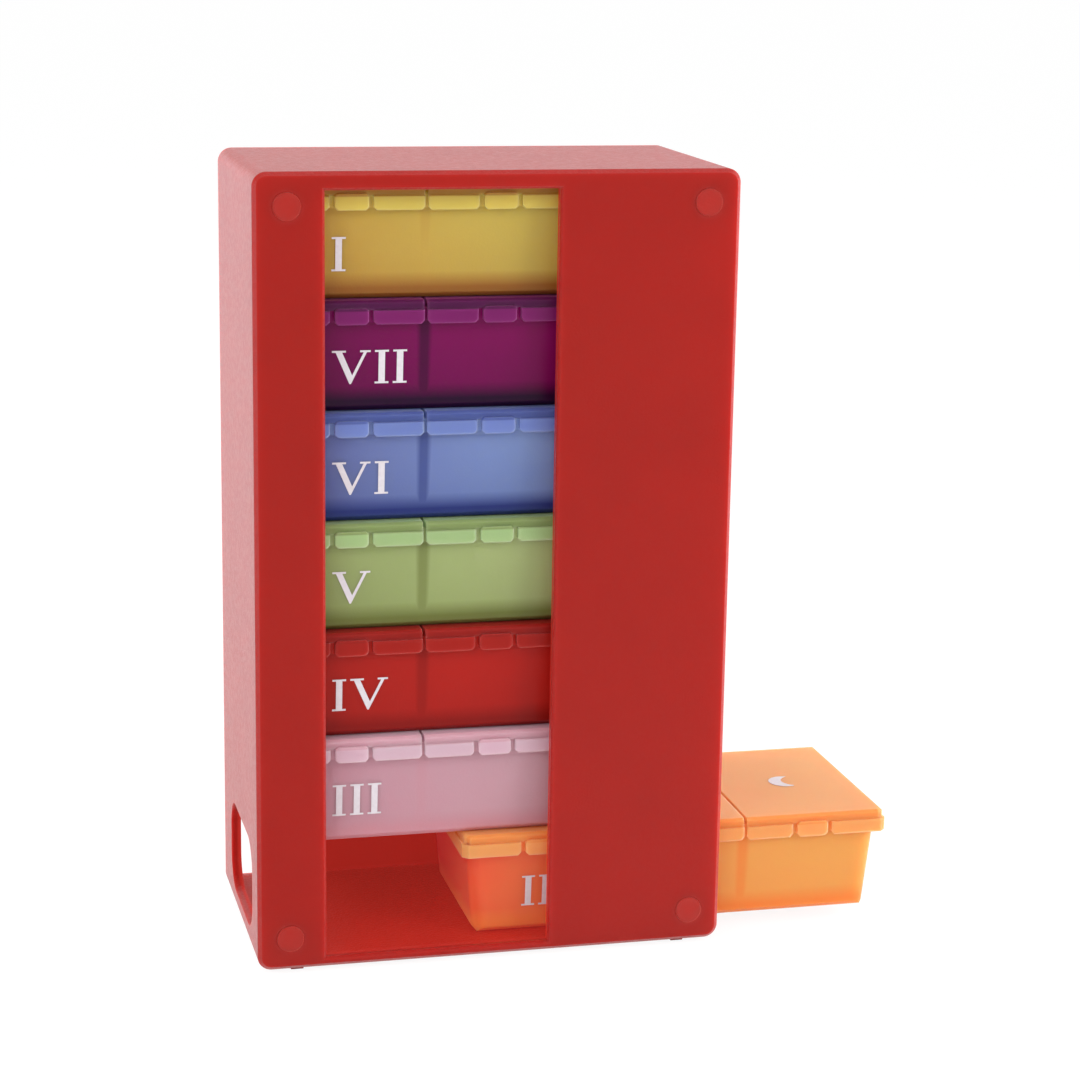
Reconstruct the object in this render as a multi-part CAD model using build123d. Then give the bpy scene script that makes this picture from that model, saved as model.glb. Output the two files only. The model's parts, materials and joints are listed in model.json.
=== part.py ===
from build123d import *
import os
from math import radians, tan

# A weekly pill tower: a case with a front window holds seven stacked day trays, open to the right.
# Each tray has three compartments under lids that turn on pins at the back.
# The lowest tray is pushed out through the finger hole in the left wall and stands part of the way out.
# Frame: X to the right, Y to the back, Z up. The origin is on the table, under the part's middle at rest.

days = ("tuesday", "wednesday", "thursday", "friday", "saturday", "sunday", "monday")  # lowest tray first
meals = ("morning", "noon", "evening")  # left to right

# Case
case_width = 75.0
case_depth = 40.2
wall = 1.6
case_corner_radius = 2.2
case_inner_chamfer = 0.6
foot_size = 2.0
foot_height = 0.7
foot_inset_side = 6.4
foot_inset_front = 2.8

# Finger hole in the left wall and the relief beside it in the back wall
finger_hole_width = 25.4
finger_hole_height = 15.0
finger_hole_radius = 5.2
finger_hole_front = 6.3
finger_hole_sill = 3.7
relief_width = 10.4
relief_height = 16.2
relief_chamfer = 2.0

# Front cover, held by four posts of the case that pass through it
cover_thickness = 1.6
cover_edge_chamfer = 0.6
window_left = 10.8
window_width = 35.8
window_top_bar = 2.8
window_edge_chamfer = 0.4
post_radius = 2.1
post_inset = 5.1
post_proud = 0.15
post_clearance = 0.03
ear_thickness = 1.0
ear_chamfer = 1.6

# Stack of trays: the pitch holds one closed tray and the gap below it
tray_pitch = 17.2
stack_gap = 0.1
stack_headroom = 0.9
tray_end_gap = 0.9
tray_recess = 1.2
tray_front_gap = 1.5
tray_back_gap = 0.4
rest_pull = 30.75

# Tray
tray_wall = 1.1
tray_floor = 1.1
tray_draft = 4.5
tray_corner_radius = 2.4
tray_bottom_chamfer = 0.7
tray_bottom_slope = 45.0
cavity_corner_chamfer = 1.2
cavity_bottom_chamfer = 0.9
divider_thickness = 1.5

# Lid
lid_thickness = 1.2
lid_overhang = 1.05
lid_gap = 0.5
lid_seat_gap = 0.1
lid_corner_chamfer = 0.9
lid_edge_chamfer = 0.4
lip_drop = 1.45
lip_height = 2.15
lip_thickness = 0.8
lip_proud = 0.35
lip_corner_chamfer = 0.5
tab_width = 5.2
tab_rise = 0.35
tab_proud = 0.2
tab_corner_chamfer = 0.4
slot_width = 0.75

# Lid hinge: under the lid's rear edge, a pin between two arms snaps into a lug on the tray's back wall
hinge_half = 1.1
hinge_chamfer = 0.5
hinge_gap = 0.4
hinge_lid_gap = 0.25
arm_width = 2.0
arm_gap = 0.15
lug_width = 4.0
lug_drop = 4.2
pin_radius = 0.6
pin_clearance = 0.06
snap_mouth = 1.1

cut_overrun = 2.0

# Places on the case
day_count = len(days)
case_height = 2 * wall + day_count * tray_pitch + stack_headroom
tray_reach = rest_pull - tray_recess
case_left = -(case_width + tray_reach) / 2
case_right = case_left + case_width
case_front = -(case_depth - post_proud) / 2
case_back = case_front + case_depth
cover_back = case_front + cover_thickness
underside = foot_height
floor_top = underside + wall
case_top = underside + case_height
ceiling = case_top - wall
case_mid_x = (case_left + case_right) / 2
case_mid_z = (underside + case_top) / 2

# Places on the lowest tray while it is fully in
lid_left = case_left + wall + tray_end_gap
lid_right = case_right - tray_recess
lid_front = cover_back + tray_front_gap
lid_back = case_back - wall - tray_back_gap
tray_base = floor_top + stack_gap
lid_top = floor_top + tray_pitch
lid_underside = lid_top - lid_thickness
lip_top = lid_top - lip_drop
lip_bottom = lip_top - lip_height
rim = lid_underside - lid_seat_gap
hinge_y = lid_back - hinge_half
hinge_z = lid_underside - hinge_lid_gap - hinge_half
tray_left = lid_left + lid_overhang
tray_right = lid_right - lid_overhang
tray_front = lid_front + lid_overhang
tray_back = hinge_y - hinge_half - hinge_gap
tray_length = tray_right - tray_left
tray_depth = tray_back - tray_front
cavity_length = tray_length - 2 * tray_wall
cavity_depth = tray_depth - 2 * tray_wall
compartment_length = (cavity_length - (len(meals) - 1) * divider_thickness) / len(meals)
compartment_pitch = compartment_length + divider_thickness
tray_mid_x = (tray_left + tray_right) / 2
tray_mid_y = (tray_front + tray_back) / 2
compartment_mids = [tray_mid_x + (i - (len(meals) - 1) / 2) * compartment_pitch for i in range(len(meals))]
divider_mids = [mid + compartment_pitch / 2 for mid in compartment_mids[:-1]]
lid_edges = [lid_left - lid_gap / 2, *divider_mids, lid_right + lid_gap / 2]


def block(low, high):
    """A box between two corners."""
    size = [b - a for a, b in zip(low, high)]
    return Pos(*low) * Box(*size, align=(Align.MIN, Align.MIN, Align.MIN))


def front_slab(outline, front, back):
    """An outline in X and Z as a slab between two depths."""
    return extrude(Plane((0, back, 0), x_dir=(1, 0, 0), z_dir=(0, -1, 0)) * outline, amount=back - front)


def side_slab(outline, left, right):
    """An outline in Y and Z as a slab between two places along X."""
    return extrude(Plane((left, 0, 0), x_dir=(0, 1, 0), z_dir=(1, 0, 0)) * outline, amount=right - left)


def rectangle(low, high):
    """A flat rectangle between two corners."""
    return Pos(*low) * Rectangle(high[0] - low[0], high[1] - low[1], align=(Align.MIN, Align.MIN))


def case_outline():
    """The front view of the case."""
    return Pos(case_mid_x, case_mid_z) * RectangleRounded(case_width, case_height, case_corner_radius)


def post_places():
    """The middles of the four corner posts, in X and Z."""
    return [(x, z) for x in (case_left + post_inset, case_right - post_inset)
            for z in (underside + post_inset, case_top - post_inset)]


def make_case_body():
    """Back, left, top and bottom walls with the corner ears and posts, in one moulding."""
    cavity = rectangle((case_left + wall, floor_top), (case_right + cut_overrun, ceiling))
    cavity = chamfer(cavity.vertices().group_by(Axis.X)[0], case_inner_chamfer)
    body = front_slab(case_outline(), cover_back, case_back)
    body -= front_slab(cavity, cover_back - cut_overrun, case_back - wall)
    ear_half = post_inset - wall
    for x, z in post_places():
        low_ear = z < case_mid_z
        ear_low = (x - ear_half, underside + wall / 2 if low_ear else z - ear_half)
        ear_high = (x + ear_half, z + ear_half if low_ear else case_top - wall / 2)
        ear = rectangle(ear_low, ear_high)
        ear = chamfer(ear.vertices().group_by(Axis.Y)[-1 if low_ear else 0], ear_chamfer)
        body += front_slab(ear, cover_back, cover_back + ear_thickness)
        body += front_slab(Pos(x, z) * Circle(post_radius), case_front - post_proud, cover_back)
    for x in (case_left + foot_inset_side, case_right - foot_inset_side):
        for y in (case_front + foot_inset_front, case_back - foot_inset_front):
            body += extrude(Pos(x, y, 0) * Rectangle(foot_size, foot_size), amount=foot_height + wall / 2)
    return body - finger_hole() - back_relief()


def finger_hole():
    """The cutter of the finger hole in the left wall."""
    middle_y = case_front + finger_hole_front + finger_hole_width / 2
    middle_z = underside + finger_hole_sill + finger_hole_height / 2
    outline = RectangleRounded(finger_hole_width, finger_hole_height, finger_hole_radius)
    outline = Pos(middle_y, middle_z) * outline
    return side_slab(outline, case_left - cut_overrun, case_left + wall + cut_overrun)


def back_relief():
    """The cutter of the relief in the back wall, beside the finger hole."""
    left = case_left + wall
    outline = rectangle((left, floor_top), (left + relief_width, floor_top + relief_height))
    outline = chamfer(outline.vertices().group_by(Axis.X)[-1], relief_chamfer)
    return front_slab(outline, case_back - wall - cut_overrun, case_back + cut_overrun)


def make_front_cover():
    """The front plate with its window and four post holes."""
    cover = front_slab(case_outline(), case_front, cover_back)
    cover = chamfer(cover.faces().sort_by(Axis.Y)[0].edges(), cover_edge_chamfer)
    left = case_left + window_left
    window = rectangle((left, floor_top), (left + window_width, case_top - window_top_bar))
    cover -= front_slab(window, case_front - cut_overrun, cover_back + cut_overrun)
    cover = chamfer(cover.faces().sort_by(Axis.Y)[0].inner_wires()[0].edges(), window_edge_chamfer)
    for x, z in post_places():
        hole = Pos(x, z) * Circle(post_radius + post_clearance)
        cover -= front_slab(hole, case_front - cut_overrun, cover_back + cut_overrun)
    return cover


def draft_inset(height):
    """How far the drafted walls have come in at a height, measured from the rim."""
    return (rim - height) * tan(radians(tray_draft))


def frustum(length, depth, bottom, inset):
    """A block under the tray's rim that narrows downwards by the same inset on every side."""
    height = rim - bottom
    shape = Wedge(length, height, depth, inset, inset, length - inset, depth - inset,
                  align=(Align.CENTER, Align.MIN, Align.CENTER))
    return Pos(tray_mid_x, tray_mid_y, rim) * Rot(-90, 0, 0) * shape


def make_tray():
    """One day's tray: drafted walls, two dividers and a hinge lug behind each compartment."""
    shell = frustum(tray_length, tray_depth, tray_base, draft_inset(tray_base))
    shell = fillet(shell.edges().group_by(Axis.Z)[1], tray_corner_radius)
    sole_inset = (rim - tray_base) * tan(radians(tray_bottom_slope))
    widening = 2 * (sole_inset - draft_inset(tray_base) - tray_bottom_chamfer)
    shell &= frustum(tray_length + widening, tray_depth + widening, tray_base, sole_inset)
    tray = shell - tray_cavity()
    for x in compartment_mids:
        tray += side_slab(lug_outline(), x - lug_width / 2, x + lug_width / 2)
    return tray


def tray_cavity():
    """The three compartments as one cutter, parted by the dividers."""
    bottom = tray_base + tray_floor
    cavity = frustum(cavity_length, cavity_depth, bottom, draft_inset(bottom))
    cavity = chamfer(cavity.edges().group_by(Axis.Z)[1], cavity_corner_chamfer)
    cavity = chamfer(cavity.faces().sort_by(Axis.Z)[0].edges(), cavity_bottom_chamfer)
    for x in divider_mids:
        half = divider_thickness / 2
        cavity -= block((x - half, tray_front, tray_base), (x + half, tray_back, rim + cut_overrun))
    return cavity


def lug_outline():
    """The side view of a hinge lug: a bracket out of the back wall with a snap slot for the pin."""
    back = hinge_y + hinge_half
    top = hinge_z + hinge_half
    heel = hinge_z - lug_drop
    root = tray_back - tray_wall / 2
    corners = [(root - draft_inset(heel), heel), (root, top), (back - hinge_chamfer, top),
               (back, top - hinge_chamfer), (back, hinge_z - hinge_half + hinge_chamfer)]
    bracket = make_face(Polyline(*corners, close=True))
    slot = Pos(hinge_y, hinge_z) * Circle(pin_radius + pin_clearance)
    slot += rectangle((hinge_y, hinge_z - snap_mouth / 2), (back + cut_overrun, hinge_z + snap_mouth / 2))
    return bracket - slot


def arm_outline():
    """The side view of a lid arm: it hangs from the lid's rear edge and holds one end of the pin."""
    front = hinge_y - hinge_half
    bottom = hinge_z - hinge_half
    corners = [(front, lid_underside), (front, bottom + hinge_chamfer), (front + hinge_chamfer, bottom),
               (lid_back, bottom), (lid_back, lid_underside)]
    return make_face(Polyline(*corners, close=True))


def slot_outline(left, right):
    """The front view of a slot in a lid's lip, flared below to take off the lip's corners."""
    flare = lip_corner_chamfer + cut_overrun
    bottom = lip_bottom - cut_overrun
    corners = [(left - flare, bottom), (left, bottom + flare), (left, lip_top),
               (right, lip_top), (right, bottom + flare), (right + flare, bottom)]
    return make_face(Polyline(*corners, close=True))


def lid_outline(index, inset):
    """The plan of a lid, taken in at the front and at the tray's ends."""
    first = index == 0
    last = index == len(meals) - 1
    left = lid_edges[index] + lid_gap / 2 + (inset if first else 0)
    right = lid_edges[index + 1] - lid_gap / 2 - (inset if last else 0)
    outline = rectangle((left, lid_front + inset), (right, lid_back))
    front_corners = outline.vertices().group_by(Axis.Y)[0].sort_by(Axis.X)
    if first:
        outline = chamfer(front_corners[0], lid_corner_chamfer)
    if last:
        outline = chamfer(front_corners[-1], lid_corner_chamfer)
    return outline


def make_lid(index):
    """The lid over one compartment: a plate, a slotted lip with a tab below its edge, and a hinge pin."""
    left = lid_edges[index] + lid_gap / 2
    right = lid_edges[index + 1] - lid_gap / 2
    middle = compartment_mids[index]
    first = index == 0
    last = index == len(meals) - 1
    lid = extrude(Pos(0, 0, lid_top) * lid_outline(index, lip_proud), amount=-lip_drop)
    outer_edges = lid.faces().sort_by(Axis.Z)[-1].edges().sort_by(Axis.Y)[:-1].sort_by(Axis.X)
    start = 0 if first else 1
    end = len(outer_edges) if last else len(outer_edges) - 1
    lid = chamfer(outer_edges[start:end], lid_edge_chamfer)
    lid += extrude(Pos(0, 0, lip_top) * lid_outline(index, 0), amount=-lip_height)
    hollow_left = left + lip_thickness if first else left - cut_overrun
    hollow_right = right - lip_thickness if last else right + cut_overrun
    lid -= block((hollow_left, lid_front + lip_thickness, lip_bottom - cut_overrun),
                 (hollow_right, lid_back + cut_overrun, lid_underside))
    tab_left = middle - tab_width / 2
    tab_right = middle + tab_width / 2
    tab = rectangle((tab_left, lip_bottom), (tab_right, lip_top + tab_rise))
    tab = chamfer(tab.vertices().group_by(Axis.Y)[-1], tab_corner_chamfer)
    lid += front_slab(tab, lid_front - tab_proud, lid_front + lip_thickness)
    slots = [(tab_left - slot_width, tab_left), (tab_right, tab_right + slot_width)]
    if not first:
        slots.append((left - lid_gap, left))
    if not last:
        slots.append((right, right + lid_gap))
    for slot in slots:
        lid -= front_slab(slot_outline(*slot), lid_front - cut_overrun, lid_front + lip_thickness)
    inner = lug_width / 2 + arm_gap
    for arm_left in (middle - inner - arm_width, middle + inner):
        lid += side_slab(arm_outline(), arm_left, arm_left + arm_width)
    lid += side_slab(Pos(hinge_y, hinge_z) * Circle(pin_radius), middle - inner, middle + inner)
    return lid


def main():
    """Builds every piece and writes one file for each."""
    os.makedirs("parts", exist_ok=True)
    pieces = {"case_body": make_case_body(), "front_cover": make_front_cover()}
    tray = make_tray()
    lids = {meal: make_lid(index) for index, meal in enumerate(meals)}
    for level, day in enumerate(days):
        place = Pos(rest_pull if level == 0 else 0, 0, level * tray_pitch)
        pieces[f"{day}_tray"] = place * tray
        for meal, lid in lids.items():
            pieces[f"{day}_lid_{meal}"] = place * lid
    for name, piece in pieces.items():
        piece.label = name
        export_step(piece, f"parts/{name}.step")


main()
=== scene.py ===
"""Looks of a weekly pill tower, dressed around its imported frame. Lengths are in metres."""

import json
import logging
import math
from collections import defaultdict
from dataclasses import dataclass, field
from enum import Enum

import bmesh
import bpy
from mathutils import Matrix, Vector


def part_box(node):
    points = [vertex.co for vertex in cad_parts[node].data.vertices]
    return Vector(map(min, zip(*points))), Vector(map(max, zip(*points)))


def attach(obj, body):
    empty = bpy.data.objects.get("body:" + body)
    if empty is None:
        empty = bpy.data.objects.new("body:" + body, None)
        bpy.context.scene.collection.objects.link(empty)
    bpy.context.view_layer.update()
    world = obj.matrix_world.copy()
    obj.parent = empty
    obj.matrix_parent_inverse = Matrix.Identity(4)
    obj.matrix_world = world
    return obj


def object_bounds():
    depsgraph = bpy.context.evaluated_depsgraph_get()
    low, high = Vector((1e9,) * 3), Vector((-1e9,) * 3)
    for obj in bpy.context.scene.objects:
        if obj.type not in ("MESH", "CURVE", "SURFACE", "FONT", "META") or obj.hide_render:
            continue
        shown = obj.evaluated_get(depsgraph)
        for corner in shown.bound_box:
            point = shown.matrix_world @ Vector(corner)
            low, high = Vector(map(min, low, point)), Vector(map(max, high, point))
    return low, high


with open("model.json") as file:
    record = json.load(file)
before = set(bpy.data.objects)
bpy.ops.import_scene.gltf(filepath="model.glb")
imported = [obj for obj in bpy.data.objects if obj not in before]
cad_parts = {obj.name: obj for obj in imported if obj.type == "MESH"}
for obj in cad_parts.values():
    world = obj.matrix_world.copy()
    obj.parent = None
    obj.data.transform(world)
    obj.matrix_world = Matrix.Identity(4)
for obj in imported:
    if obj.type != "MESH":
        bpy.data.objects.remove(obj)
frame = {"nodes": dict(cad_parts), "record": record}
CAD_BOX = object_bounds()
LOG = logging.getLogger("pill_tower")

Colour = tuple[float, float, float]
Point = tuple[float, float]
Point3 = tuple[float, float, float]
BLACK: Colour = (0.0, 0.0, 0.0)
WHITE: Colour = (1.0, 1.0, 1.0)
NOISE_MIDDLE = 0.5
BEVEL_SAMPLES = 6


def srgb(red: int, green: int, blue: int) -> Colour:
    """A colour as it shows on a screen, made linear by the usual screen curve.

    Args:
        red: red from 0 to 255.
        green: green from 0 to 255.
        blue: blue from 0 to 255.

    Returns:
        The three linear values.
    """
    shares = [value / 255 for value in (red, green, blue)]
    return tuple(s / 12.92 if s <= 0.04045 else ((s + 0.055) / 1.055) ** 2.4 for s in shares)


class Meal(Enum):
    """The three doses of a day, from the left compartment to the right one."""

    MORNING = "morning"
    NOON = "noon"
    EVENING = "evening"


class Wire:
    """One output socket of a shader, with arithmetic that adds Math nodes."""

    def __init__(self, shader: "Shader", socket: bpy.types.NodeSocket) -> None:
        """Keeps the shader that owns the socket."""
        self.shader = shader
        self.socket = socket

    def _math(self, operation: str, first: "Wire | float", second: "Wire | float") -> "Wire":
        """Adds one Math node.

        Args:
            operation: the Math node's operation.
            first: its first value.
            second: its second value.

        Returns:
            The node's output.
        """
        return self.shader.node("ShaderNodeMath", {"operation": operation}, {0: first, 1: second})

    def __add__(self, other: "Wire | float") -> "Wire":
        """Sum."""
        return self._math("ADD", self, other)

    def __radd__(self, other: float) -> "Wire":
        """Sum with a number on the left."""
        return self._math("ADD", other, self)

    def __sub__(self, other: "Wire | float") -> "Wire":
        """Difference."""
        return self._math("SUBTRACT", self, other)

    def __rsub__(self, other: float) -> "Wire":
        """Difference from a number."""
        return self._math("SUBTRACT", other, self)

    def __mul__(self, other: "Wire | float") -> "Wire":
        """Product."""
        return self._math("MULTIPLY", self, other)

    def __rmul__(self, other: float) -> "Wire":
        """Product with a number on the left."""
        return self._math("MULTIPLY", other, self)

    def __pow__(self, other: "Wire | float") -> "Wire":
        """Power."""
        return self._math("POWER", self, other)

    def __rpow__(self, other: float) -> "Wire":
        """Power of a number."""
        return self._math("POWER", other, self)

    def least(self, other: "Wire | float") -> "Wire":
        """The smaller of two values."""
        return self._math("MINIMUM", self, other)

    def most(self, other: "Wire | float") -> "Wire":
        """The larger of two values."""
        return self._math("MAXIMUM", self, other)

    def size(self) -> "Wire":
        """The value without its sign."""
        return self._math("ABSOLUTE", self, 0.0)

    def ramp(self, start: float, end: float) -> "Wire":
        """A straight rise from 0 at one value to 1 at another.

        Args:
            start: the value at which it is 0.
            end: the value at which it is 1, above or below the start.

        Returns:
            The share, kept from 0 to 1.
        """
        return ((self - start) * (1 / (end - start))).most(0.0).least(1.0)


class Shader:
    """A node tree under construction."""

    def __init__(self, tree: bpy.types.NodeTree) -> None:
        """Empties the tree."""
        self.tree = tree
        self.tree.nodes.clear()

    def node(self, kind: str, settings: dict | None = None, sockets: dict | None = None,
             output: int | str = 0) -> Wire | None:
        """Adds one node.

        Args:
            kind: the node's type.
            settings: its own settings, set before its sockets.
            sockets: values, colours or wires by socket name or number.
            output: name or number of the output to hand back.

        Returns:
            The chosen output, or None for a node that has no outputs.
        """
        made = self.tree.nodes.new(kind)
        for name, value in (settings or {}).items():
            setattr(made, name, value)
        for key, value in (sockets or {}).items():
            socket = made.inputs[key]
            if isinstance(value, Wire):
                self.tree.links.new(value.socket, socket)
            elif isinstance(value, (tuple, list)) and len(value) == 3 and socket.type == "RGBA":
                socket.default_value = (*value, 1.0)
            else:
                socket.default_value = value
        return Wire(self, made.outputs[output]) if made.outputs else None

    def place(self) -> Wire:
        """The point's own place on the object."""
        return self.node("ShaderNodeTexCoord", output="Object")

    def noise(self, grain: float, detail: float = 2.0, roughness: float = 0.5) -> Wire:
        """Soft noise about a half.

        Args:
            grain: size of one blot, in metres.
            detail: how many finer layers it has.
            roughness: how strong those are.

        Returns:
            The noise from 0 to 1.
        """
        sockets = {"Vector": self.place(), "Scale": 1 / grain, "Detail": detail, "Roughness": roughness}
        return self.node("ShaderNodeTexNoise", None, sockets)

    def mix(self, share: "Wire | float", first: "Wire | Colour", second: "Wire | Colour") -> Wire:
        """A blend of two colours.

        Args:
            share: how much of the second one there is.
            first: colour at share 0.
            second: colour at share 1.

        Returns:
            The blended colour.
        """
        return self.node("ShaderNodeMix", {"data_type": "RGBA"}, {0: share, 6: first, 7: second}, 2)

    def soft_normal(self, radius: float) -> Wire:
        """The normal with every edge rounded to a radius."""
        return self.node("ShaderNodeBevel", {"samples": BEVEL_SAMPLES}, {"Radius": radius})

    def edge(self, radius: float) -> Wire:
        """How near the point lies to an edge.

        Args:
            radius: how far from the edge it is felt.

        Returns:
            0 on a flat and about 0.3 on the edge itself.
        """
        straight = self.node("ShaderNodeNewGeometry", output="True Normal")
        rounded = self.soft_normal(radius)
        sockets = {0: straight, 1: rounded}
        return 1 - self.node("ShaderNodeVectorMath", {"operation": "DOT_PRODUCT"}, sockets, "Value")

    def parts(self, vector: Wire) -> tuple[Wire, Wire, Wire]:
        """The three parts of a vector."""
        split = self.node("ShaderNodeSeparateXYZ", None, {0: vector}).socket.node
        return tuple(Wire(self, socket) for socket in split.outputs)

    def facing(self) -> tuple[Wire, Wire, Wire]:
        """The three parts of the surface's own direction."""
        return self.parts(self.node("ShaderNodeNewGeometry", output="True Normal"))

    def grazing(self) -> Wire:
        """How flat the surface is seen: 0 face on and 1 along it."""
        return self.node("ShaderNodeLayerWeight", None, {"Blend": 0.5}, "Facing")

    def close(self, kind: str, surface: Wire) -> None:
        """Ends the tree with an output node of a kind."""
        self.node(kind, None, {"Surface": surface})


def new_material(name: str) -> tuple[bpy.types.Material, Shader]:
    """Makes a material with nothing in it yet.

    Args:
        name: the material's name.

    Returns:
        The material, and the shader to fill.
    """
    made = bpy.data.materials.new(name)
    made.use_nodes = True
    return made, Shader(made.node_tree)


@dataclass(frozen=True)
class MouldedPlastic:
    """A coloured plastic that lets some light through, with a moulded surface."""

    name: str
    colour: Colour
    edge_highlight_colour: Colour
    roughness: float = 0.42
    light_depth: float = 0.003
    light_share: float = 0.8
    light_tint: Colour = (1.0, 0.6, 0.6)
    shine: float = 0.3
    edge_round: float = 0.00025
    edge_glow_width: float = 0.0012
    edge_glow: float = 1.6
    cloud_size: float = 0.014
    cloud_detail: float = 3.0
    cloud_strength: float = 0.16
    grain_size: float = 0.00035
    grain_detail: float = 2.0
    grain_fineness: float = 0.6
    grain_height: float = 0.00002
    grain_gloss: float = 0.12
    side_grain: float = 0.0
    sheen: float = 0.0
    sheen_roughness: float = 0.3
    film: float = 0.0
    film_turn: float = 3.0
    film_index: float = 1.5

    def paint(self, shader: Shader, body: Wire) -> Wire:
        """The moulding's shades, painted light and shade among them, for finishes that have some.

        Args:
            shader: the material under construction, not used by the plain finish.
            body: the plain colour.

        Returns:
            The shaded colour.
        """
        return body

    def film_share(self, shader: Shader) -> "Wire | float":
        """Where the surface has its film, for finishes that have it in places only."""
        return 1.0

    def glow(self, shader: Shader) -> "Wire | Colour":
        """The light that comes through the moulding itself, for finishes that show it."""
        return BLACK

    def material(self) -> bpy.types.Material:
        """Makes the material.

        Returns:
            The new material.
        """
        made, shader = new_material(self.name)
        cloud = shader.noise(self.cloud_size, self.cloud_detail)
        darker = tuple(value * (1 - self.cloud_strength) for value in self.colour)
        lighter = tuple(min(1.0, value * (1 + self.cloud_strength)) for value in self.colour)
        body = self.paint(shader, shader.mix(cloud, darker, lighter))
        # painted highlight: near every edge the colour turns towards the lighter edge colour, as rounded
        # edges catch the light
        glow = (shader.edge(self.edge_glow_width) * self.edge_glow).least(1.0)
        grain = shader.noise(self.grain_size, self.grain_detail, self.grain_fineness)
        across, _, upward = shader.facing()
        sides = across.size().most(upward.size())
        height = grain * (1 + sides * self.side_grain)
        rounded = shader.soft_normal(self.edge_round)
        bump_sockets = {"Strength": 1.0, "Distance": self.grain_height, "Height": height, "Normal": rounded}
        bump = shader.node("ShaderNodeBump", None, bump_sockets)
        film = (shader.grazing() ** self.film_turn * self.film).least(1.0) * self.film_share(shader)
        surface = shader.node("ShaderNodeBsdfPrincipled", None, {
            "Base Color": shader.mix(glow, body, self.edge_highlight_colour),
            "Roughness": (grain - NOISE_MIDDLE) * self.grain_gloss + self.roughness,
            "Normal": bump,
            "Specular IOR Level": self.shine,
            "Subsurface Weight": self.light_share,
            "Subsurface Radius": self.light_tint,
            "Subsurface Scale": self.light_depth,
            "Sheen Weight": self.sheen,
            "Sheen Roughness": self.sheen_roughness,
            "Coat Weight": film,
            "Coat Roughness": self.roughness,
            "Coat IOR": self.film_index,
            "Emission Color": self.glow(shader),
            "Emission Strength": 1.0,
        })
        shader.close("ShaderNodeOutputMaterial", surface)
        return made


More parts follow.
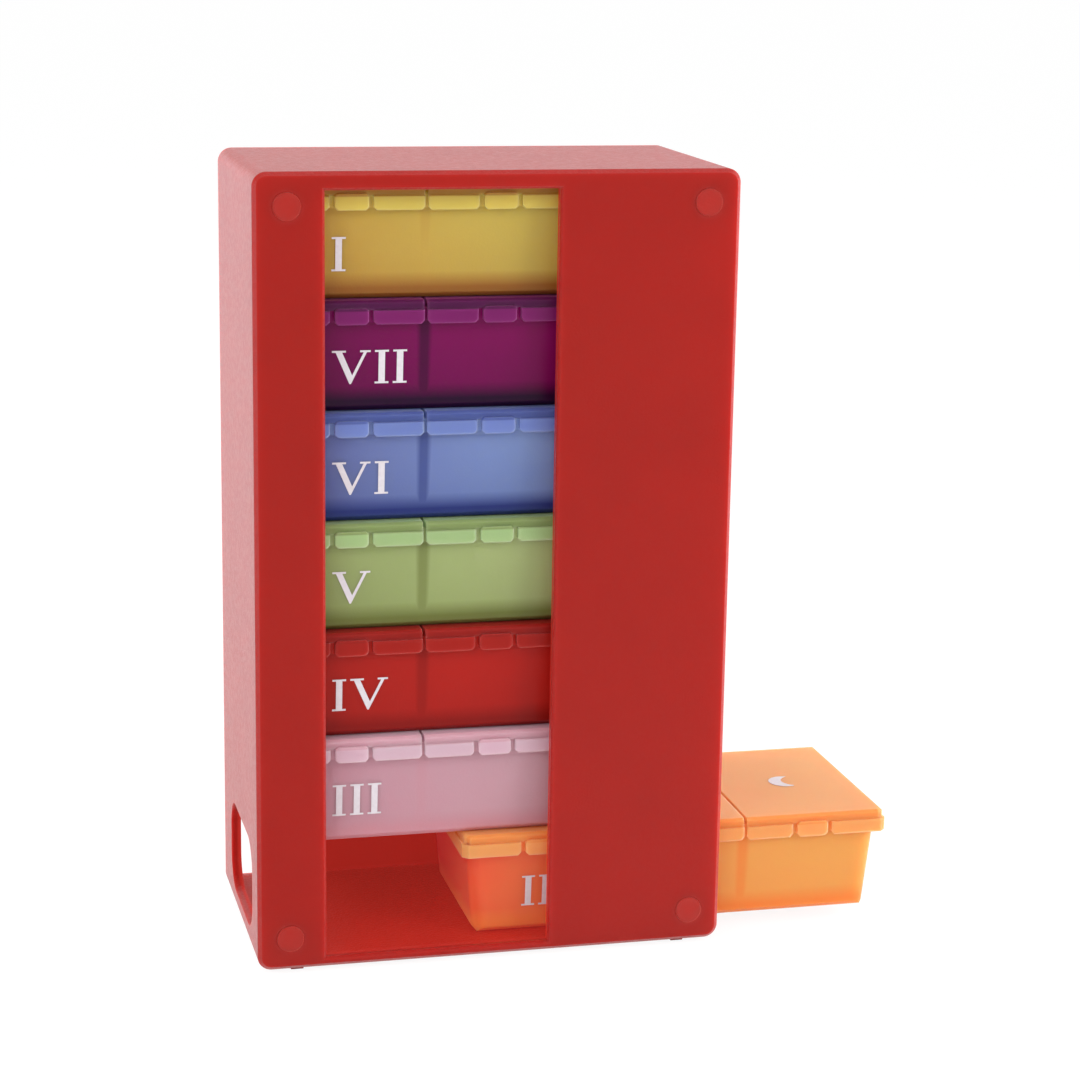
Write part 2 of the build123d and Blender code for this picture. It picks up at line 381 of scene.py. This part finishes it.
@dataclass(frozen=True)
class CasePlastic(MouldedPlastic):
    """The case's plastic: a film outside, dull inside, a painted sheen on the outer sides and the top, and
    lighter ends of the posts.

    A face counts as outer where it lies within the skin of the case's box, and as turned one way
    where that part of its direction is large enough.
    """

    low: Point3 = (0.0, 0.0, 0.0)
    high: Point3 = (1.0, 1.0, 1.0)
    skin: float = 0.0008
    skin_end: float = 0.0012
    turn_start: float = 0.6
    turn_end: float = 0.95
    post_inset: float = 0.0051
    post_radius: float = 0.0021
    post_blur: float = 0.0004
    post_gap: float = 0.00012
    post_gap_end: float = 0.00018
    gap_share: float = 0.45
    post_colour: Colour = (0.5, 0.1, 0.1)
    post_share: float = 0.35
    glow_colour: Colour = BLACK
    painted_sheen_colour: Colour = (0.8, 0.6, 0.6)
    painted_sheen_foot: float = 0.03
    painted_sheen_head: float = 0.16
    top_painted_sheen: float = 0.04
    top_film: float = 0.8
    speck_size: float = 0.0008
    speck_detail: float = 1.0
    speck_start: float = 0.4
    speck_end: float = 0.65
    speck_share: float = 0.25

    def in_skin(self, depth: Wire) -> Wire:
        """1 at a depth within the skin, and 0 where it is deeper."""
        return depth.ramp(self.skin_end, self.skin)

    def turned(self, share: Wire) -> Wire:
        """1 on a face that is turned one way, and 0 on the others."""
        return share.ramp(self.turn_start, self.turn_end)

    def on_front(self, shader: Shader) -> Wire:
        """1 on the front face and 0 behind it."""
        _, y, _ = shader.parts(shader.place())
        return self.in_skin(y - self.low[1])

    def paint(self, shader: Shader, body: Wire) -> Wire:
        """Paints a pale sheen on the outer sides and the top, stronger higher up where more light falls,
        and lightens the round ends of the four posts.

        Args:
            shader: the material under construction.
            body: the plain colour.

        Returns:
            The shaded colour.
        """
        across, _, upward = shader.facing()
        x, _, z = shader.parts(shader.place())
        # painted sheen: the pale reflection of the outer sides and the top, with more of it higher up,
        # where more light falls
        flank = self.in_skin((x - self.low[0]).least(self.high[0] - x)) * self.turned(across.size())
        gain = self.painted_sheen_head - self.painted_sheen_foot
        flank = flank * (z.ramp(self.low[2], self.high[2]) * gain + self.painted_sheen_foot)
        top = self.in_skin(self.high[2] - z) * self.turned(upward) * self.top_painted_sheen
        body = shader.mix(flank.most(top), body, self.painted_sheen_colour)
        disc = self.from_post(shader).ramp(self.post_radius, self.post_radius - self.post_blur)
        return shader.mix(disc * self.on_front(shader) * self.post_share, body, self.post_colour)

    def from_post(self, shader: Shader) -> Wire:
        """How far the point lies from the axis of the nearest post.

        Args:
            shader: the material under construction.

        Returns:
            The distance, seen from the front.
        """
        x, _, z = shader.parts(shader.place())
        ends = [((x - left) ** 2.0 + (z - foot) ** 2.0) ** 0.5
                for left in (self.low[0] + self.post_inset, self.high[0] - self.post_inset)
                for foot in (self.low[2] + self.post_inset, self.high[2] - self.post_inset)]
        return ends[0].least(ends[1]).least(ends[2]).least(ends[3])

    def outside(self, shader: Shader) -> Wire:
        """Where the outside is: the inner faces lie deeper than the skin.

        Args:
            shader: the material under construction.

        Returns:
            1 on the outside and 0 on the inner faces.
        """
        x, y, z = shader.parts(shader.place())
        deep = (x - self.low[0]).least(self.high[1] - y).least(y - self.low[1])
        deep = deep.least(z - self.low[2]).least(self.high[2] - z)
        return self.in_skin(deep)

    def film_share(self, shader: Shader) -> Wire:
        """The film lies outside only, with bright specks, and thinner on the top.

        Args:
            shader: the material under construction.

        Returns:
            How much of the film there is.
        """
        specks = shader.noise(self.speck_size, self.speck_detail).ramp(self.speck_start, self.speck_end)
        _, _, upward = shader.facing()
        dull = 1 - self.turned(upward) * (1 - self.top_film)
        return self.outside(shader) * dull * (specks * self.speck_share + (1 - self.speck_share))

    def glow(self, shader: Shader) -> Wire:
        """Red light that comes through the walls shows on the inner faces and in the gaps round the posts.

        Args:
            shader: the material under construction.

        Returns:
            The colour of that light.
        """
        from_rim = (self.from_post(shader) - self.post_radius).size()
        gap = from_rim.ramp(self.post_gap_end, self.post_gap) * self.on_front(shader)
        return shader.mix(self.outside(shader) * (1 - gap * self.gap_share), self.glow_colour, BLACK)


@dataclass(frozen=True)
class FrostedPlastic(MouldedPlastic):
    """The trays' and lids' frosted plastic, with a deeper colour where it is thick and where shade is
    painted.
    """

    roughness: float = 0.34
    light_depth: float = 0.006
    light_share: float = 0.9
    shine: float = 0.15
    edge_glow: float = 0.5
    cloud_strength: float = 0.06
    sheen: float = 0.05
    thick_and_shade_colour: Colour = (0.2, 0.2, 0.2)


@dataclass(frozen=True)
class LidPlastic(FrostedPlastic):
    """A lid whose plain front edge shows darker above the lip, with painted shade where the tray above
    shadows it.
    """

    front: float = 0.0
    top: float = 0.0
    band_height: float = 0.00145
    band_depth: float = 0.0012
    blur: float = 0.0002
    band_shade_share: float = 0.65

    def paint(self, shader: Shader, body: Wire) -> Wire:
        """Paints shade on the band along the front edge.

        Args:
            shader: the material under construction.
            body: the plain colour.

        Returns:
            The shaded colour.
        """
        _, y, z = shader.parts(shader.place())
        above = z.ramp(self.top - self.band_height - self.blur, self.top - self.band_height)
        before = y.ramp(self.front + self.band_depth, self.front + self.band_depth - self.blur)
        # painted shade: the tray above shadows the lid's front edge
        return shader.mix(above * before * self.band_shade_share, body, self.thick_and_shade_colour)


@dataclass(frozen=True)
class TrayPlastic(FrostedPlastic):
    """A frosted tray whose floor and dividers show darker where the plastic is thick, with painted shade
    towards the bottom, and the case's painted light and shade over its left end.
    """

    floor: float = 0.0
    floor_solid: float = 0.0016
    floor_band: float = 0.0048
    dividers: tuple[float, ...] = ()
    divider_half: float = 0.0005
    divider_blur: float = 0.0009
    divider_share: float = 0.7
    height: float = 0.016
    bottom_shade_share: float = 0.35
    case_light_and_shade_colour: Colour = (0.2, 0.2, 0.2)
    far_span: Point = (0.0, 1.0)
    near_glow: Colour = BLACK
    far_glow: Colour = BLACK
    rim_band: float = 0.0022
    rim_blur: float = 0.0003
    rim_share: float = 0.22

    def paint(self, shader: Shader, body: Wire) -> Wire:
        """Darkens the floor's band and the dividers' stripes, where thick plastic shows through with some
        painted shade, paints shade down the walls, and paints the case's light and shade towards the left
        end.

        Args:
            shader: the material under construction.
            body: the plain colour.

        Returns:
            The shaded colour.
        """
        x, _, z = shader.parts(shader.place())
        # painted light and shade of the case over the left end: darker on most trays, red on the orange one
        body = shader.mix(x.ramp(*self.far_span), body, self.case_light_and_shade_colour)
        # the floor's band: the thick floor seen through the wall, with painted shade near the foot
        deep = z.ramp(self.floor + self.floor_band, self.floor + self.floor_solid)
        # painted shade, darker towards the bottom
        deep = deep.most(z.ramp(self.floor + self.height, self.floor) * self.bottom_shade_share)
        for place in self.dividers:
            stripe = (x - place).size().ramp(self.divider_half + self.divider_blur, self.divider_half)
            deep = deep.most(stripe * self.divider_share)
        return shader.mix(deep, body, self.thick_and_shade_colour)

    def glow(self, shader: Shader) -> Wire:
        """Light that comes through the walls, with another colour at the left end, and through the lips.

        Args:
            shader: the material under construction.

        Returns:
            The colour of that light.
        """
        x, _, z = shader.parts(shader.place())
        walls = shader.mix(x.ramp(*self.far_span), self.near_glow, self.far_glow)
        rim = self.floor + self.height - self.rim_band
        rim_glow = tuple(value * self.rim_share for value in self.colour)
        return shader.mix(z.ramp(rim, rim + self.rim_blur), walls, rim_glow)


@dataclass(frozen=True)
class PrintInk:
    """Opaque white print with a slightly uneven cover."""

    name: str = "white_print"
    colour: Colour = (0.78, 0.75, 0.79)
    thin_colour: Colour = (0.64, 0.59, 0.63)
    roughness: float = 0.5
    shine: float = 0.3
    blot_size: float = 0.0006
    blot_detail: float = 3.0
    blot_gloss: float = 0.2

    def material(self) -> bpy.types.Material:
        """Makes the material.

        Returns:
            The new material.
        """
        made, shader = new_material(self.name)
        blot = shader.noise(self.blot_size, self.blot_detail)
        surface = shader.node("ShaderNodeBsdfPrincipled", None, {
            "Base Color": shader.mix(blot, self.thin_colour, self.colour),
            "Roughness": blot * self.blot_gloss + self.roughness,
            "Specular IOR Level": self.shine,
        })
        shader.close("ShaderNodeOutputMaterial", surface)
        return made


@dataclass(frozen=True)
class NumeralShape:
    """Proportions of the serif numerals, as shares of their height."""

    height: float = 0.0052
    stem_share: float = 0.19
    hair_share: float = 0.09
    serif_share: float = 0.11
    slab_share: float = 0.055
    spread_share: float = 0.64
    gap_share: float = 0.13

    def stroke(self) -> list[Point]:
        """The upright numeral for one: a stem between two serifs.

        Returns:
            Its outline from its left edge.
        """
        stem = self.stem_share * self.height
        serif = self.serif_share * self.height
        slab = self.slab_share * self.height
        right = stem + 2 * serif
        top = self.height
        return [(0, 0), (right, 0), (right, slab), (right - serif, slab), (right - serif, top - slab),
                (right, top - slab), (right, top), (0, top), (0, top - slab), (serif, top - slab),
                (serif, slab), (0, slab)]

    def vee(self) -> list[Point]:
        """The numeral for five: a thick stroke down, a thin one up, and two serifs.

        Returns:
            Its outline from its left edge.
        """
        stem = self.stem_share * self.height
        hair = self.hair_share * self.height
        serif = self.serif_share * self.height
        slab = self.slab_share * self.height
        top = self.height
        neck = top - slab
        thick_left = serif
        thin_left = thick_left + stem + self.spread_share * self.height
        foot_left = (thick_left + thin_left) / 2
        foot_right = foot_left + hair / 2
        fall = (foot_left - thick_left) / neck
        rise = (thin_left + hair - foot_right) / neck
        inner = (thin_left - thick_left - stem) / (fall + rise)
        return [(foot_left, 0), (foot_right, 0), (thin_left + hair, neck), (thin_left + hair + serif, neck),
                (thin_left + hair + serif, top), (thin_left - serif, top), (thin_left - serif, neck),
                (thin_left, neck), (thin_left - rise * inner, neck - inner), (thick_left + stem, neck),
                (thick_left + stem + serif, neck), (thick_left + stem + serif, top), (0, top), (0, neck),
                (thick_left, neck)]

    def outlines(self, numeral: str) -> list[list[Point]]:
        """The outlines of a numeral's strokes, set side by side.

        Args:
            numeral: letters I and V.

        Returns:
            One outline for each letter.
        """
        made = []
        pen = 0.0
        for letter in numeral:
            outline = self.vee() if letter == "V" else self.stroke()
            made.append([(x + pen, y) for x, y in outline])
            pen += max(x for x, _ in outline) + self.gap_share * self.height
        return made


@dataclass(frozen=True)
class DoseMark:
    """Sizes of the small sun and moon printed on the lids."""

    radius: float = 0.0017
    ray_gap: float = 0.0006
    ray_length: float = 0.0011
    ray_width: float = 0.00045
    ray_count: int = 8
    steps: int = 28
    moon_radius: float = 0.0026
    moon_bite_share: float = 0.42

    def arc(self, middle: Point, radius: float, start: float, end: float) -> list[Point]:
        """Points along an arc.

        Args:
            middle: the arc's middle.
            radius: its radius.
            start: first angle in radians.
            end: last angle in radians.

        Returns:
            Evenly spaced points, with both ends.
        """
        turns = [start + (end - start) * i / self.steps for i in range(self.steps + 1)]
        return [(middle[0] + radius * math.cos(t), middle[1] + radius * math.sin(t)) for t in turns]

    def ray(self, turn: float) -> list[Point]:
        """One ray, which points away from the sun's middle.

        Args:
            turn: its direction in radians.

        Returns:
            Its outline.
        """
        inner = self.radius + self.ray_gap
        outer = inner + self.ray_length
        half = self.ray_width / 2
        corners = [(inner, -half), (outer, -half), (outer, half), (inner, half)]
        cos, sin = math.cos(turn), math.sin(turn)
        return [(x * cos - y * sin, x * sin + y * cos) for x, y in corners]

    def sun(self, risen: bool) -> list[list[Point]]:
        """A full sun, or a half one on its horizon.

        Args:
            risen: whether the whole disc shows.

        Returns:
            Outlines of the disc, the rays and the horizon.
        """
        if risen:
            turns = [2 * math.pi * i / self.ray_count for i in range(self.ray_count)]
            disc = self.arc((0, 0), self.radius, 0, 2 * math.pi)[:-1]
            return [disc] + [self.ray(turn) for turn in turns]
        half_count = self.ray_count // 2
        turns = [math.pi * i / half_count for i in range(half_count + 1)]
        reach = self.radius + self.ray_gap + self.ray_length
        bar_top = -self.ray_gap
        bar_foot = bar_top - self.ray_width
        bar = [(-reach, bar_foot), (reach, bar_foot), (reach, bar_top), (-reach, bar_top)]
        return [self.arc((0, 0), self.radius, 0, math.pi), bar] + [self.ray(turn) for turn in turns]

    def moon(self) -> list[list[Point]]:
        """A crescent: a disc with a bite of the same radius taken out of its right side.

        Returns:
            Its one outline.
        """
        shift = self.moon_radius * 2 * self.moon_bite_share
        tip = math.acos(shift / 2 / self.moon_radius)
        outer = self.arc((0, 0), self.moon_radius, tip, 2 * math.pi - tip)
        inner = self.arc((shift, 0), self.moon_radius, math.pi + tip, math.pi - tip)
        return [outer + inner[1:-1]]

    def outlines(self, meal: Meal) -> list[list[Point]]:
        """One dose's mark, about its own middle.

        Args:
            meal: the dose.

        Returns:
            The mark's outlines.
        """
        if meal is Meal.EVENING:
            return self.moon()
        return self.sun(meal is Meal.NOON)


@dataclass
class PrintMesh:
    """Raised print in one mesh, with a thickness over the surface and a sink below it."""

    thickness: float = 0.00005
    sink: float = 0.00002
    mesh: bmesh.types.BMesh = field(default_factory=bmesh.new)

    def stamp(self, outlines: list[list[Point]], place: Matrix) -> None:
        """Prints outlines on a surface.

        Args:
            outlines: closed outlines in the print's own X and Y.
            place: where the print's origin and axes go, with Z out of the surface.
        """
        for outline in outlines:
            corners = [self.mesh.verts.new((x, y, -self.sink)) for x, y in outline]
            face = self.mesh.faces.new(corners)
            grown = bmesh.ops.extrude_face_region(self.mesh, geom=[face])["geom"]
            raised = [item for item in grown if isinstance(item, bmesh.types.BMVert)]
            bmesh.ops.translate(self.mesh, verts=raised, vec=(0, 0, self.thickness + self.sink))
            bmesh.ops.transform(self.mesh, verts=corners + raised, matrix=place)

    def finish(self, name: str, ink: bpy.types.Material, body: str) -> bpy.types.Object:
        """Turns the print into a piece that rides on a body.

        Args:
            name: the piece's name.
            ink: its material.
            body: the body that carries it.

        Returns:
            The new object.
        """
        bmesh.ops.recalc_face_normals(self.mesh, faces=self.mesh.faces)
        data = bpy.data.meshes.new(name)
        self.mesh.to_mesh(data)
        self.mesh.free()
        data.materials.append(ink)
        piece = bpy.data.objects.new(name, data)
        bpy.context.scene.collection.objects.link(piece)
        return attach(piece, body)


def dress(node: str, material: bpy.types.Material) -> None:
    """Gives a node of the frame its finish.

    Args:
        node: the node's name.
        material: the finish for all its faces.
    """
    slots = frame["nodes"][node].data.materials
    slots.clear()
    slots.append(material)
    LOG.info("dressed %s in %s", node, material.name)


def body_of(node: str) -> str:
    """The name of the body that carries a node."""
    bodies = frame["record"]["behaviour"]["bodies"]
    return next(name for name, members in bodies.items() if node in members)


@dataclass
class CaseShell:
    """The red case and its front cover."""

    plastic: CasePlastic
    nodes: tuple[str, ...] = ("case_body", "front_cover")

    def build(self) -> None:
        """Dresses both mouldings in the same plastic."""
        material = self.plastic.material()
        for node in self.nodes:
            dress(node, material)


@dataclass(frozen=True)
class DayColours:
    """One day's colours: walls, the deeper colour of thick plastic and painted shade, lids, the left end
    with the case's painted light and shade, how strongly the dividers show, and light.
    """

    wall: Colour
    deep: Colour
    lid: Colour
    far: Colour
    stripe: float = 0.7
    near_glow: Colour = BLACK
    far_glow: Colour = BLACK


@dataclass
class DayTray:
    """One day's tray with its three lids and its print."""

    day: str
    numeral: str
    colours: DayColours
    shape: NumeralShape
    mark: DoseMark
    draft: float = math.radians(4.5)
    print_left: float = 0.0090
    print_rise: float = 0.0042
    # how far the painted edge highlight is brought towards white
    edge_highlight_lift: float = 0.1
    tint_lift: float = 0.3

    def lifted(self, colour: Colour, lift: float) -> Colour:
        """A colour brought towards white by a share."""
        return tuple(value + (1 - value) * lift for value in colour)

    def values(self, part: str, colour: Colour) -> dict[str, str | Colour]:
        """The values that the tray's and the lids' finishes share.

        Args:
            part: what the finish is for.
            colour: its plain colour.

        Returns:
            Values by name.
        """
        return {
            "name": f"{self.day}_{part}",
            "colour": colour,
            "edge_highlight_colour": self.lifted(colour, self.edge_highlight_lift),
            "light_tint": self.lifted(colour, self.tint_lift),
            "thick_and_shade_colour": self.colours.deep,
        }

    def tray_plastic(self) -> TrayPlastic:
        """The tray's finish, with the dividers found between its lids.

        Returns:
            The finish.
        """
        low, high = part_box(f"{self.day}_tray")
        spans = [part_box(f"{self.day}_lid_{meal.value}") for meal in Meal]
        dividers = tuple((left[1].x + right[0].x) / 2 for left, right in zip(spans, spans[1:]))
        return TrayPlastic(**self.values("tray", self.colours.wall), floor=low.z, height=high.z - low.z,
                           dividers=dividers, divider_share=self.colours.stripe,
                           case_light_and_shade_colour=self.colours.far, far_span=(dividers[-1], low.x),
                           near_glow=self.colours.near_glow, far_glow=self.colours.far_glow)

    def lid_plastic(self) -> LidPlastic:
        """The lids' finish."""
        low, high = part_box(f"{self.day}_lid_{Meal.NOON.value}")
        return LidPlastic(**self.values("lid", self.colours.lid), front=low.y, top=high.z)

    def wall_place(self) -> Matrix:
        """The numeral's place on the drafted front wall.

        Returns:
            The place, with X to the right, Y up the wall and Z out of it.
        """
        low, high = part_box(f"{self.day}_tray")
        up = Vector((0, -math.sin(self.draft), math.cos(self.draft)))
        out = Vector((0, -math.cos(self.draft), -math.sin(self.draft)))
        drop = (high.z - low.z - self.print_rise) / math.cos(self.draft)
        start = Vector((low.x + self.print_left, low.y, high.z)) - up * drop
        axes = Matrix((Vector((1, 0, 0)), up, out)).transposed()
        return Matrix.Translation(start) @ axes.to_4x4()

    def lid_place(self, meal: Meal) -> Matrix:
        """The place of a mark on the middle of a lid's top.

        Args:
            meal: the dose under the lid.

        Returns:
            The place, with X to the right and Y to the back.
        """
        low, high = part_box(f"{self.day}_lid_{meal.value}")
        middle = Vector(((low.x + high.x) / 2, (low.y + high.y) / 2, high.z))
        return Matrix.Translation(middle)

    def build(self, ink: bpy.types.Material) -> None:
        """Dresses the tray and its lids and prints them.

        Args:
            ink: material of the print.
        """
        lid_material = self.lid_plastic().material()
        tray = f"{self.day}_tray"
        dress(tray, self.tray_plastic().material())
        prints: dict[str, PrintMesh] = defaultdict(PrintMesh)
        prints[body_of(tray)].stamp(self.shape.outlines(self.numeral), self.wall_place())
        for meal in Meal:
            lid = f"{self.day}_lid_{meal.value}"
            dress(lid, lid_material)
            prints[body_of(lid)].stamp(self.mark.outlines(meal), self.lid_place(meal))
        for body, sheet in prints.items():
            piece = sheet.finish(f"{body}_print", ink, body)
            LOG.info("printed %s on %s", piece.name, body)


@dataclass(frozen=True)
class Lamp:
    """A soft lamp: its place in X and Y, the height and size of its face, and its power in watts."""

    name: str
    place: Point
    height: float
    size: Point
    power: float

    def build(self) -> None:
        """Adds the lamp, which shines at the middle of the tower and isn't seen itself."""
        low, high = CAD_BOX
        data = bpy.data.lights.new(self.name, "AREA")
        data.shape = "RECTANGLE"
        data.size, data.size_y = self.size
        data.energy = self.power
        lamp = bpy.data.objects.new(self.name, data)
        lamp.location = (*self.place, self.height)
        aim = (low + high) / 2 - lamp.location
        lamp.rotation_euler = aim.to_track_quat("-Z", "Y").to_euler()
        lamp.visible_camera = False
        lamp.visible_glossy = False
        bpy.context.scene.collection.objects.link(lamp)
        LOG.info("hung the %s lamp", self.name)


@dataclass
class Studio:
    """Camera, lights, floor and background."""

    lens: float = 90.63
    sensor: float = 36.0
    distance: float = 0.41948
    aim_right: float = 0.0066
    aim_up: float = 0.00548
    yaw: float = math.radians(13.84)
    pitch: float = math.radians(13.22)
    roll: float = math.radians(0.93)
    clip_share: float = 0.01
    floor_half: float = 6.0
    floor_colour: Colour = (0.86, 0.86, 0.86)
    floor_white: float = 0.82
    floor_glow: float = 1.1
    sky: float = 0.6
    lamps: tuple[Lamp, ...] = (
        Lamp("key", (-0.40, -0.45), 0.50, (0.50, 0.50), 1.6),
        Lamp("fill", (0.60, -0.45), 0.35, (0.50, 0.50), 3.0),
        Lamp("back", (-0.55, 0.35), 0.30, (0.60, 0.50), 2.6),
        Lamp("side", (0.60, 0.10), 0.30, (0.50, 0.50), 3.0),
    )

    def camera(self) -> None:
        """Sets the camera at the photograph's viewing angle."""
        low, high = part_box("front_cover")
        aim = Vector(((low.x + high.x) / 2, low.y, (low.z + high.z) / 2))
        turn = (Matrix.Rotation(-self.yaw, 4, "Z") @ Matrix.Rotation(-self.pitch, 4, "X")
                @ Matrix.Rotation(-self.roll, 4, "Y"))
        offset = turn @ Vector((self.aim_right, -self.distance, self.aim_up))
        data = bpy.data.cameras.new("camera")
        data.sensor_width = self.sensor
        data.lens = self.lens
        data.clip_start = self.distance * self.clip_share
        camera = bpy.data.objects.new("camera", data)
        camera.matrix_world = Matrix.Translation(aim + offset) @ turn @ Matrix.Rotation(math.pi / 2, 4, "X")
        bpy.context.scene.collection.objects.link(camera)
        bpy.context.scene.camera = camera

    def white_share(self, shader: Shader) -> Wire:
        """Which rays see the background directly, in a reflection or through glass.

        Args:
            shader: the material or world under construction.

        Returns:
            1 for those rays and 0 for the others.
        """
        rays = shader.node("ShaderNodeLightPath").socket.node
        names = ("Is Camera Ray", "Is Glossy Ray", "Is Transmission Ray")
        seen = [Wire(shader, rays.outputs[name]) for name in names]
        return seen[0].most(seen[1]).most(seen[2])

    def floor(self) -> None:
        """Lays a pale floor that keeps the shadow and fades into the background."""
        made, shader = new_material("studio_floor")
        matt = shader.node("ShaderNodeBsdfDiffuse", None, {"Color": self.floor_colour})
        white = shader.node("ShaderNodeEmission", None, {"Color": WHITE, "Strength": self.floor_glow})
        share = self.white_share(shader) * self.floor_white
        surface = shader.node("ShaderNodeMixShader", None, {0: share, 1: matt, 2: white})
        shader.close("ShaderNodeOutputMaterial", surface)
        mesh = bmesh.new()
        bmesh.ops.create_grid(mesh, x_segments=1, y_segments=1, size=self.floor_half)
        data = bpy.data.meshes.new("studio_floor")
        mesh.to_mesh(data)
        mesh.free()
        data.materials.append(made)
        floor = bpy.data.objects.new("studio_floor", data)
        bpy.context.scene.collection.objects.link(floor)

    def background(self) -> None:
        """Makes the surroundings white to look at and milder as light."""
        world = bpy.data.worlds.new("studio")
        world.use_nodes = True
        bpy.context.scene.world = world
        shader = Shader(world.node_tree)
        seen = self.white_share(shader)
        sky = shader.node("ShaderNodeBackground", None, {"Color": WHITE, "Strength": self.sky})
        white = shader.node("ShaderNodeBackground", None, {"Color": WHITE, "Strength": 1.0})
        surface = shader.node("ShaderNodeMixShader", None, {0: seen, 1: sky, 2: white})
        shader.close("ShaderNodeOutputWorld", surface)

    def build(self) -> None:
        """Sets up everything round the tower."""
        self.camera()
        self.floor()
        self.background()
        for lamp in self.lamps:
            lamp.build()
        bpy.context.scene.view_settings.view_transform = "Standard"
        LOG.info("studio is set")


def case_plastic() -> CasePlastic:
    """The case's matt red, placed by the boxes of the case and its cover.

    Returns:
        The finish.
    """
    low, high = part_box("front_cover")
    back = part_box("case_body")[1].y
    # the second colour is the painted highlight along the case's edges
    return CasePlastic("case_red", srgb(162, 27, 18), srgb(198, 66, 62), roughness=0.5, light_depth=0.005,
                       light_share=0.9, light_tint=(1.0, 0.2, 0.17), shine=0.2, edge_round=0.0004,
                       edge_glow_width=0.0016, edge_glow=1.0, cloud_strength=0.08, grain_height=0.00004,
                       side_grain=5.0, film=1.5, film_turn=1.5, film_index=2.1, low=tuple(low),
                       high=(high.x, back, high.z), post_colour=srgb(204, 64, 56),
                       # the painted sheen colour is the pale reflection painted on the case's sides and top
                       painted_sheen_colour=srgb(248, 194, 206), glow_colour=(0.16, 0.013, 0.009))


def day_trays() -> list[DayTray]:
    """The seven trays with their colours, which are those of walls, thick plastic and painted shade, lids,
    and the left end with the case's painted light and shade.

    Returns:
        The trays from the top down.
    """
    shape = NumeralShape()
    mark = DoseMark()
    yellow = DayColours(srgb(210, 188, 94), srgb(156, 102, 44), srgb(208, 184, 92), srgb(196, 154, 72),
                        stripe=0.2)
    purple = DayColours(srgb(136, 8, 92), srgb(40, 0, 42), srgb(122, 30, 100), srgb(116, 10, 80))
    blue = DayColours(srgb(138, 160, 212), srgb(44, 56, 122), srgb(114, 130, 186), srgb(102, 108, 162))
    green = DayColours(srgb(176, 190, 132), srgb(114, 122, 64), srgb(158, 184, 130), srgb(150, 164, 106))
    red = DayColours(srgb(186, 34, 26), srgb(140, 20, 14), srgb(158, 30, 22), srgb(172, 32, 24))
    # the clear tray's pink is the case's red light painted into its colours
    clear = DayColours(srgb(206, 164, 174), srgb(200, 144, 154), srgb(210, 174, 188), srgb(196, 142, 156),
                       stripe=0.35)
    # the orange tray's left end carries the case's red light painted in, and its glows are painted light
    # coming through the walls
    orange = DayColours(srgb(255, 161, 88), srgb(246, 130, 62), srgb(255, 156, 95), srgb(236, 88, 52),
                        near_glow=(0.06, 0.022, 0.005), far_glow=(0.07, 0.004, 0.012))
    days = (
        ("monday", "I", yellow),
        ("sunday", "VII", purple),
        ("saturday", "VI", blue),
        ("friday", "V", green),
        ("thursday", "IV", red),
        ("wednesday", "III", clear),
        ("tuesday", "II", orange),
    )
    return [DayTray(day, numeral, colours, shape, mark) for day, numeral, colours in days]


def main() -> None:
    """Builds the tower's looks and the studio round it."""
    logging.basicConfig(level=logging.INFO, format="%(name)s: %(message)s")
    Studio().build()
    CaseShell(case_plastic()).build()
    ink = PrintInk().material()
    for tray in day_trays():
        tray.build(ink)


if __name__ == "__main__":
    main()
